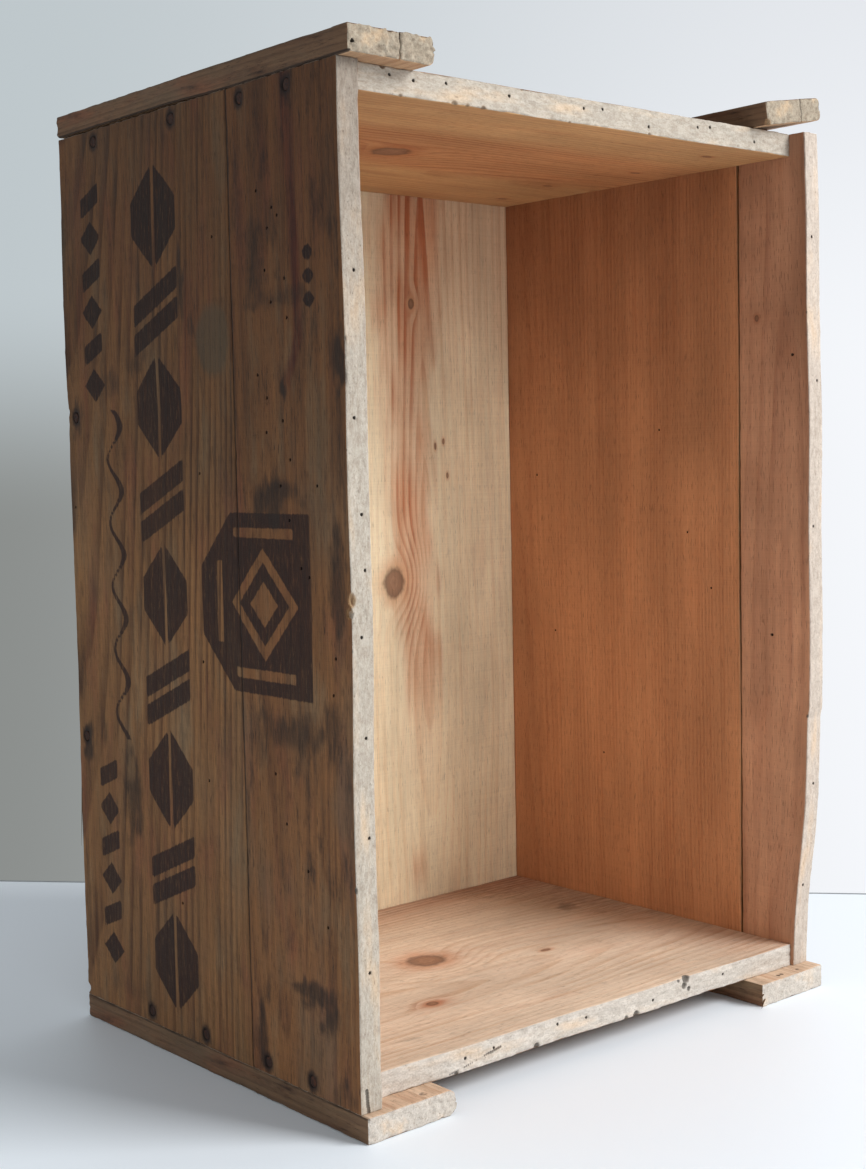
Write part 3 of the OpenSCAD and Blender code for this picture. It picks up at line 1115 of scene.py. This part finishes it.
def right_front_shade(points):
    """Broad brown clouds, painted shade that deepens towards the top, and a little darkening along the
    mouth edge.
    """
    u, v, w = points.T
    clouds = 0.2 * lumps(points, (70, 14, 14), 5) + 0.12 * lumps(points, (18, 9, 9), 6)
    mouth = 0.2 * ramp(v, 9, 1)
    return np.clip(0.02 + 0.34 * ramp(u, 200, 470) + clouds + mouth, 0, 1) * (w < 1)


def right_side_front_board(material):
    """The right side's narrow board, with a waved mouth edge."""
    board = Board("right_side_front_board", 2, 1, 1, (2.4, 2.2), 13)
    board.low[1] = 0.0
    board.pith = (12.0, -10.0)
    board.pith_slope = 0.05
    board.wander = 9.0
    board.front_edge = right_front_outline
    board.rear_edge = lambda u: 1.1 + 0 * u
    board.pale_rear = 0.0
    board.wormholes("front", [(430, 5), (350, 8), (268, 4), (120, 7), (60, 5)])
    board.wormholes("inner", [(365, 8), (205, 20)])
    board.paint = {"dim": right_front_shade}
    board.knot(387, 27, 4, 2.4)
    board.bite(160, -1, -0.6, 2.0)
    board.bite(388, -1, -0.8, 1.8)
    nail_all(board)
    board.build(material, "orange_pine")


def right_rear_shade(points):
    """Painted shade: the inside darkens towards the top and a little towards the back, with a soft smear
    and long streaks along the grain.
    """
    u, v, w = points.T
    smear = np.exp(-((u - 405) / 45) ** 2 - ((v - 178) / 20) ** 2)
    top = 0.06 + 0.36 * ramp(u + 20 * lumps(points, (60, 40, 40), 3), 250, 460) + 0.2 * smear
    streaks = 0.16 * lumps(points, (500, 9, 9), 4) + 0.06 * ramp(v, 150, 232)
    return np.clip(top + streaks, 0, 1) * (w < 1)


def right_side_rear_board(material):
    """The right side's wide board."""
    board = Board("right_side_rear_board", 2, 1, 1, (2.8, 2.6), 14)
    board.pith = (225.0, -34.0)
    board.pith_slope = -0.02
    board.wander = 3.5
    board.front_edge = lambda u: 0.35 * np.sin(u / 33)
    board.pale_front = 0.0
    board.paint = {"dim": right_rear_shade}
    board.rear_edge = lambda u: 0.8 * np.sin(u / 52 + 2)
    board.wormholes("inner", [(263, 78), (298, 206), (196, 192), (325, 100), (230, 60), (120, 150)], 0.6)
    nail_all(board)
    board.build(material, "orange_pine")


def end_board(node, outward, seed, setback_left, setback_right):
    """An end board, whose front edge runs out of square."""
    board = Board(node, 0, 1, outward, (2.2, 2.6), seed)
    board.edge_rough = 0.5
    board.chipping = 3.5
    board.low[1] = 0.0
    width = board.high[0] - board.low[0]

    def front(u):
        """How far the front edge stands back along the board."""
        share = (u - board.low[0]) / width
        return setback_left + (setback_right - setback_left) * share + 0.45 * np.sin(u / 17)

    board.front_edge = front
    return board


def ceiling_band(points):
    """A redder band along the middle of the top end board."""
    u, v, w = points.T
    middle = 102 + 10 * lumps(points, (120, 60, 60), 4)
    return 0.5 * ramp(abs(v - middle), 55, 30)


def top_end_board(material):
    """The upper end, whose inner face is the crate's ceiling as it stands."""
    board = end_board("top_end_board", 3, 15, 5.0, 1.5)
    board.pith = (150.0, -45.0)
    board.pith_slope = 0.05
    board.wander = 8.0
    board.wormholes("front", [
        (34, 9), (48, 8), (67, 9), (107, 8), (158, 8), (171, 9), (244, 8), (254, 9), (290, 5), (205, 4),
    ])
    for u, w, radius in (
        (40, -0.4, 1.6), (72, -0.4, 2.1), (80, -0.6, 1.8), (90, -0.4, 1.9), (148, -0.6, 1.4),
        (206, -0.4, 1.7), (30, 12.6, 1.7), (116, 12.7, 1.5),
    ):
        board.bite(u, -0.6, w, radius, 0.35)
    board.knot(126, 114, 24, 22)
    for u, v in ((282, 27), (290, 88), (281, 152), (294, 206)):
        board.knot(u, v, 7, 4)
    board.paint = {"heart": ceiling_band}
    nail_all(board)
    board.build(material, "orange_pine")


def floor_marks_and_shadow(points):
    """Grey and brown marks on the crate's floor, and a dark band in its far right corner that is partly
    stain and partly painted shadow of the right side.
    """
    u, v, w = points.T
    total = 0.45 * ramp(u + 0.4 * v + 12 * lumps(points, (22, 22, 22), 6), 290, 370)
    for place in (
        (180, 52, 16, 12, 0.3), (200, 150, 30, 8, 0.25), (290, 150, 12, 10, 0.6), (60, 28, 8, 5, 0.4),
    ):
        total = np.maximum(total, smudge(points, *place, seed=int(place[0])))
    return total * (w < 1)


def floor_blush(points):
    """Orange wood round the floor's small knot and along its back."""
    u, v, w = points.T
    near_knot = np.exp(-((u - 103) / 11) ** 2 - ((v - 63) / 6) ** 2)
    near_knot += 0.5 * np.exp(-((u - 150) / 24) ** 2 - ((v - 125) / 15) ** 2)
    return np.clip(0.9 * near_knot + 0.45 * ramp(v, 170, 232) + 0.3 * ramp(u, 250, 320), 0, 1)


def bottom_end_board(material):
    """The lower end, whose inner face is the crate's floor, with a gnawed and cracked front edge."""
    board = end_board("bottom_end_board", -3, 16, 11.0, 3.0)
    board.pith = (80.0, -40.0)
    board.pith_slope = -0.06
    board.wander = 9.0
    board.wormholes("front", [(72, 6), (90, 5), (135, 4), (155, 5), (205, 7), (262, 5)])
    for u, w, radius in (
        (232, 0.6, 3.0), (230, 4.6, 2.1), (234, 7.2, 1.5), (226, 1.0, 1.4), (16, 0.4, 2.2),
        (120, 11.8, 2.0), (192, 12.0, 2.4), (184, 12.2, 1.8), (66, 12.2, 1.6),
    ):
        board.bite(u, -0.6, w, radius)
    for step in range(26):
        board.bite(62 + 1.3 * step, -0.55, 11.6 - 0.24 * step, 0.85)
    board.knot(150, 125, 24, 22)
    board.knot(103, 63, 8, 6)
    board.knot(213, 92, 8, 4)
    board.paint = {"grime_and_shadow": floor_marks_and_shadow, "heart": floor_blush}
    nail_all(board)
    board.build(material, "tan_pine")


def back_board(node, seed):
    """A board of the crate's back, which lies between the sides."""
    board = Board(node, 2, 0, 2, (2.8, 2.6), seed)
    board.wander = 7.0
    nail_all(board)
    return board


def back_left_board(material):
    """The plain left board of the back."""
    board = back_board("back_left_board", 17)
    board.pith = (60.0, -50.0)
    board.pith_slope = 0.04
    board.pale_rear = 0.0
    board.build(material, "cream_pine")


def flame(points):
    """Reddish heartwood down the middle of the back board, broad at the top."""
    u, v, w = points.T
    line = 236 + 4 * np.sin(u / 70) + 4 * lumps(points, (40, 20, 20), 9)
    reach = 17 + 13 * ramp(u, 280, 460) + 3 * np.sin(u / 31)
    strength = 0.68 + 0.32 * ramp(u, 330, 450) + 0.2 * np.exp(-((u - 250) / 50) ** 2)
    strength *= ramp(u, 70, 220) * (1 + 0.35 * lumps(points, (30, 7, 7), 11))
    edge = abs(v - line) / reach + 0.35 * lumps(points, (24, 7, 7), 10)
    low = 0.5 * np.exp(-((u - 46) / 12) ** 2 - ((v - 233) / 6) ** 2)
    warm_top = 0.5 * ramp(u + 20 * lumps(points, (30, 20, 20), 13), 310, 480) * ramp(v, 212, 262)
    total = np.maximum(strength * ramp(edge, 1.3, 0.35), warm_top) + low
    return np.clip(total, 0, 1) * np.where(w < 8, 1.0, 0.35)


def back_shade(points):
    """Painted shade: the back darkens towards its top, under the top end board, and a little more in a
    patch at the very top.
    """
    u, v, w = points.T
    top = 0.19 * ramp(u + 14 * lumps(points, (18, 30, 30), 12), 240, 480)
    return np.clip(top + 0.2 * ramp(u, 440, 480) * np.exp(-((v - 240) / 22) ** 2), 0, 1) * (w < 1)


def back_right_board(material):
    """The knotty right board of the back."""
    board = back_board("back_right_board", 18)
    board.pale_front = 0.0
    board.pith = (246.0, -14.0)
    board.pith_slope = 0.055
    board.wander = 10.0
    board.paint = {"heart": flame, "dim": back_shade}
    board.knot(232, 218, 20, 17)
    board.knot(321, 262, 4, 2)
    board.knot(299, 265, 4, 2)
    board.knot(318, 255, 5, 2)
    board.knot(408, 237, 7, 5)
    nail_all(board)
    board.build(material, "cream_pine")


def batten(node, outward, seed):
    """A rough cleat across an end, with heavily worn corners."""
    board = Board(node, 1, 0, outward, (2.6, 2.4), seed)
    board.corner = 1.0
    board.chipping = 3.6
    board.pale_front = 0.0
    board.pale_rear = 0.0
    board.end_rough = 0.6
    board.edge_rough = 0.35
    board.face_rough = 0.25
    return board


def joint_shadow(points):
    """Painted shadow along the joint between a batten and the crate."""
    return 1.1 * ramp(points[:, 2], 1.5, 0.5) * (points[:, 1] < 1.5)


def top_left_batten(material):
    """The left cleat of the top, split at its front end."""
    board = batten("top_left_batten", 3, 19)
    board.paint = {"grime_and_shadow": joint_shadow}
    board.end_rough = 0.95
    board.pith = (20.0, -30.0)
    board.underside = lambda u, v: 1.1 * ramp(u, 90, 135)
    board.round_rear = 3.6
    board.split(29.5, -7.5, 22, 0.5, 4.0)
    board.bite(-7.6, 24.5, 14.2, 3.0, 0.25)
    board.bite(-7.6, 28.0, 14.4, 2.6, 0.25)
    board.hole("foot", 2.6, 4.6, 0.9, 2.4)
    nail_all(board)
    board.build(material, "rough_pine")


def bottom_left_batten(material):
    """The left foot, its inner edge rounded by wear."""
    board = batten("bottom_left_batten", -3, 20)
    board.paint = {"grime_and_shadow": lambda points: 0.6 * joint_shadow(points)}
    board.pith = (30.0, -35.0)
    board.round_rear = 5.2
    board.bite(-5, 45, 14, 2.6)
    board.bite(2, 38, -0.8, 2.0)
    nail_all(board)
    board.build(material, "rough_pine")


def bottom_right_batten(material):
    """The right foot, splintered at its front."""
    board = batten("bottom_right_batten", -3, 21)
    board.pith = (300.0, -25.0)
    board.bite(-3.5, 301, -0.8, 1.7)
    board.bite(-3.5, 304, -0.9, 1.7)
    board.bite(-4.0, 318, -0.9, 1.5)
    board.sliver((282, -8.6, 4), (275, -12, 2), (0, 0, -1.0), 0.9)
    board.sliver((281, -8.6, 7), (276, -10.5, 6), (0, 0, -0.6), 0.7)
    nail_all(board)
    board.build(material, "rough_pine")


def top_right_batten(material):
    """The loose batten, built in its own tilted frame."""
    board = batten("top_right_batten", 3, 22)
    low, high = crate_box("top_right_batten")
    spread, rise = high[0] - low[0], high[2] - low[2]
    sine, cosine = math.sin(LIFT_ANGLE), math.cos(LIFT_ANGLE)
    width = (spread * cosine - rise * sine) / math.cos(2 * LIFT_ANGLE)
    thickness = (rise * cosine - spread * sine) / math.cos(2 * LIFT_ANGLE)
    board.axes = np.array([[0, cosine, -sine], [1, 0, 0], [0, sine, cosine]])
    board.origin = np.array([low[0] + thickness * sine, 0, low[2]])
    board.low = np.array([low[1], 0.0, 0.0])
    board.high = np.array([high[1], width, thickness])
    board.pith = (24.0, -30.0)
    board.split(30, -8, 12, 0.4, 2.0)
    board.bite(-9, -1, 0, 3.6, 0.6)
    board.round_rear = 2.5
    nail_all(board)
    board.build(material, "rough_pine")


# ---------------------------------------------------------------- the stage

# Where the camera stands, in metres, and the directions in front of it and to its right
VIEWPOINT = (-0.63287, -0.70924, 0.31395)
FORWARD = (0.65389, 0.75258, -0.07774)
RIGHT = (0.75367, -0.65693, -0.0203)


def camera():
    """The camera stands in front of the mouth, to the left of it, a little above the middle."""
    forward = Vector(FORWARD).normalized()
    right = Vector(RIGHT).normalized()
    up = right.cross(forward)
    data = bpy.data.cameras.new("camera")
    data.lens = 52.08
    data.sensor_width = 36
    view = bpy.data.objects.new("camera", data)
    rotation = Matrix((right, up, -forward)).transposed()
    view.matrix_world = Matrix.Translation(VIEWPOINT) @ rotation.to_4x4()
    bpy.context.scene.collection.objects.link(view)
    bpy.context.scene.camera = view


def area_light(name, place, aim, size, power, colour):
    """A rectangular soft light that faces a point."""
    data = bpy.data.lights.new(name, "AREA")
    data.shape = "RECTANGLE"
    data.size, data.size_y = size
    data.energy = power
    data.color = colour
    lamp = bpy.data.objects.new(name, data)
    lamp.location = place
    lamp.rotation_euler = (Vector(aim) - Vector(place)).to_track_quat("-Z", "Y").to_euler()
    bpy.context.scene.collection.objects.link(lamp)


def room_colour(s, direction):
    """The room's brightness in a direction: bright at the window's side, dim in the lower left corner."""
    rise = s.dot(direction, (0.0, 0.0, 1.0))
    left = s.mix(s.climb(rise, -0.04, 0.10), tint(139, 142, 140), tint(190, 199, 203))
    right = s.mix(s.climb(rise, 0.02, 0.3), tint(247, 249, 253), tint(229, 232, 237))
    behind = s.mix(s.climb(s.dot(direction, RIGHT), -0.27, 0.3), left, right)
    return s.mix(s.climb(s.dot(direction, FORWARD), -0.3, 0.6), tint(156, 158, 160), behind)


def daylight():
    """A pale room, soft light from a window at the front right, and a faint fill at the front left."""
    world = bpy.data.worlds.new("room")
    s = Shader(world)
    direction = s.nodes.new("ShaderNodeTexCoord").outputs["Generated"]
    background = s.nodes.new("ShaderNodeBackground")
    s.put(background.inputs["Color"], room_colour(s, direction))
    s.put(s.nodes.new("ShaderNodeOutputWorld").inputs["Surface"], background.outputs[0])
    bpy.context.scene.world = world
    area_light("window", (1.29, -2.06, 1.68), (0.05, 0.0, 0.2), (1.4, 1.4), 90, (0.985, 0.992, 1.0))
    area_light("fill", (-1.07, -2.3, 0.8), (0.1, 0.0, 0.2), (1.2, 1.2), 9, (0.98, 0.99, 1.0))


# The level direction from the camera's side of the table to its far edge, and that edge's distance
# from the middle of the crate, in metres
BACK_OF_TABLE = (0.753, 0.658, 0.0)
TABLE_DEPTH = 0.2505


def floor():
    """A plain pale table top, whose far edge runs past the crate as a faint line of painted shade in front
    of the room.
    """
    s = Shader(bpy.data.materials.new("table_top"))
    place = s.nodes.new("ShaderNodeTexCoord").outputs["Object"]
    on_edge = s.climb(s.dot(place, BACK_OF_TABLE), TABLE_DEPTH - 0.0035, TABLE_DEPTH - 0.0025)
    haze = s.noise(place, (0.35, 0.35, 0.35), 2.0)
    colour = s.mix(haze, tint(236, 243, 250), tint(241, 247, 252))
    # A painted shade line along the far edge, where the table top meets the room.
    colour = s.mix(on_edge, colour, tint(120, 126, 130))
    fine = s.noise(place, (0.004, 0.004, 0.004), 2.0)
    material = s.finish(colour, 0.5, s.bump(fine, 0.00005, 0.3), specular=0.4)
    away, along = Vector(BACK_OF_TABLE), Vector((-BACK_OF_TABLE[1], BACK_OF_TABLE[0], 0.0))
    corners = [away * reach + along * side for reach, side in (
        (-1.9, 1.8), (-1.9, -1.8), (TABLE_DEPTH, -1.8), (TABLE_DEPTH, 1.8),
    )]
    mesh = bpy.data.meshes.new("table_top")
    mesh.from_pydata(corners, [], [(0, 1, 2, 3)])
    mesh.materials.append(material)
    table = bpy.data.objects.new("table_top", mesh)
    bpy.context.scene.collection.objects.link(table)


camera()
daylight()
floor()
bpy.context.scene.view_settings.view_transform = "Standard"

# Pairs of colours for pine: the earlier, paler wood and the later, darker wood
WEATHERED = (tint(150, 106, 65), tint(92, 58, 34))
INSIDE = (tint(196, 142, 100), tint(168, 108, 70))
PALE_EDGE = (tint(188, 178, 164), tint(162, 149, 134))
PINK_EDGE = (tint(206, 197, 186), tint(182, 171, 159))
DULL_EDGE = (tint(170, 157, 138), tint(138, 123, 105))
RED_HEART = (tint(186, 108, 66), tint(146, 68, 40))
DARK_STREAK = (tint(96, 38, 26), tint(72, 27, 20))

left_front_pine = pine(
    "left_front_pine", (tint(143, 97, 58), tint(94, 58, 35)), INSIDE, PALE_EDGE, DARK_STREAK,
    ring_gap=3.4, contrast=0.55, weathering=0.85,
)
left_rear_pine = pine(
    "left_rear_pine", WEATHERED, INSIDE, PALE_EDGE, DARK_STREAK,
    ring_gap=3.6, contrast=0.9, weathering=0.5, waves=1.2,
)
right_pine = pine(
    "right_pine", WEATHERED, (tint(202, 144, 102), tint(176, 114, 76)), PALE_EDGE, RED_HEART,
    ring_gap=2.6, contrast=0.45,
)
right_front_pine = pine(
    "right_front_pine", WEATHERED, (tint(204, 154, 121), tint(168, 116, 90)),
    (tint(200, 186, 172), tint(176, 160, 146)), RED_HEART, ring_gap=7.0, contrast=0.5,
)
ceiling_pine = pine(
    "ceiling_pine", WEATHERED, (tint(202, 158, 110), tint(172, 116, 74)), PALE_EDGE, RED_HEART,
    ring_gap=4.4, contrast=0.5,
)
floor_pine = pine(
    "floor_pine", WEATHERED, (tint(222, 201, 178), tint(196, 160, 128)), PINK_EDGE, RED_HEART,
    ring_gap=4.4, contrast=0.55,
)
back_pine = pine(
    "back_pine", WEATHERED, (tint(250, 233, 197), tint(234, 199, 154)), PALE_EDGE,
    (tint(204, 130, 86), tint(182, 106, 70)), ring_gap=5.5, contrast=0.3,
)
upper_batten_pine = pine(
    "upper_batten_pine", (tint(120, 90, 66), tint(84, 60, 42)),
    (tint(196, 158, 122), tint(158, 116, 84)), DULL_EDGE, RED_HEART,
    ring_gap=3.0, contrast=0.6, weathering=0.8,
)
lower_batten_pine = pine(
    "lower_batten_pine", (tint(130, 100, 74), tint(94, 68, 48)),
    (tint(216, 186, 158), tint(182, 142, 112)), PINK_EDGE, RED_HEART,
    ring_gap=3.0, contrast=0.6, weathering=0.8, inner_wear=0.6,
)
steel = rusty_steel()

left_side_front_board(left_front_pine)
left_side_rear_board(left_rear_pine)
right_side_front_board(right_front_pine)
right_side_rear_board(right_pine)
top_end_board(ceiling_pine)
bottom_end_board(floor_pine)
back_left_board(back_pine)
back_right_board(back_pine)
top_left_batten(upper_batten_pine)
bottom_left_batten(lower_batten_pine)
bottom_right_batten(lower_batten_pine)
top_right_batten(upper_batten_pine)
for nail_node in NAIL_SETS:
    nail_set(nail_node, steel)
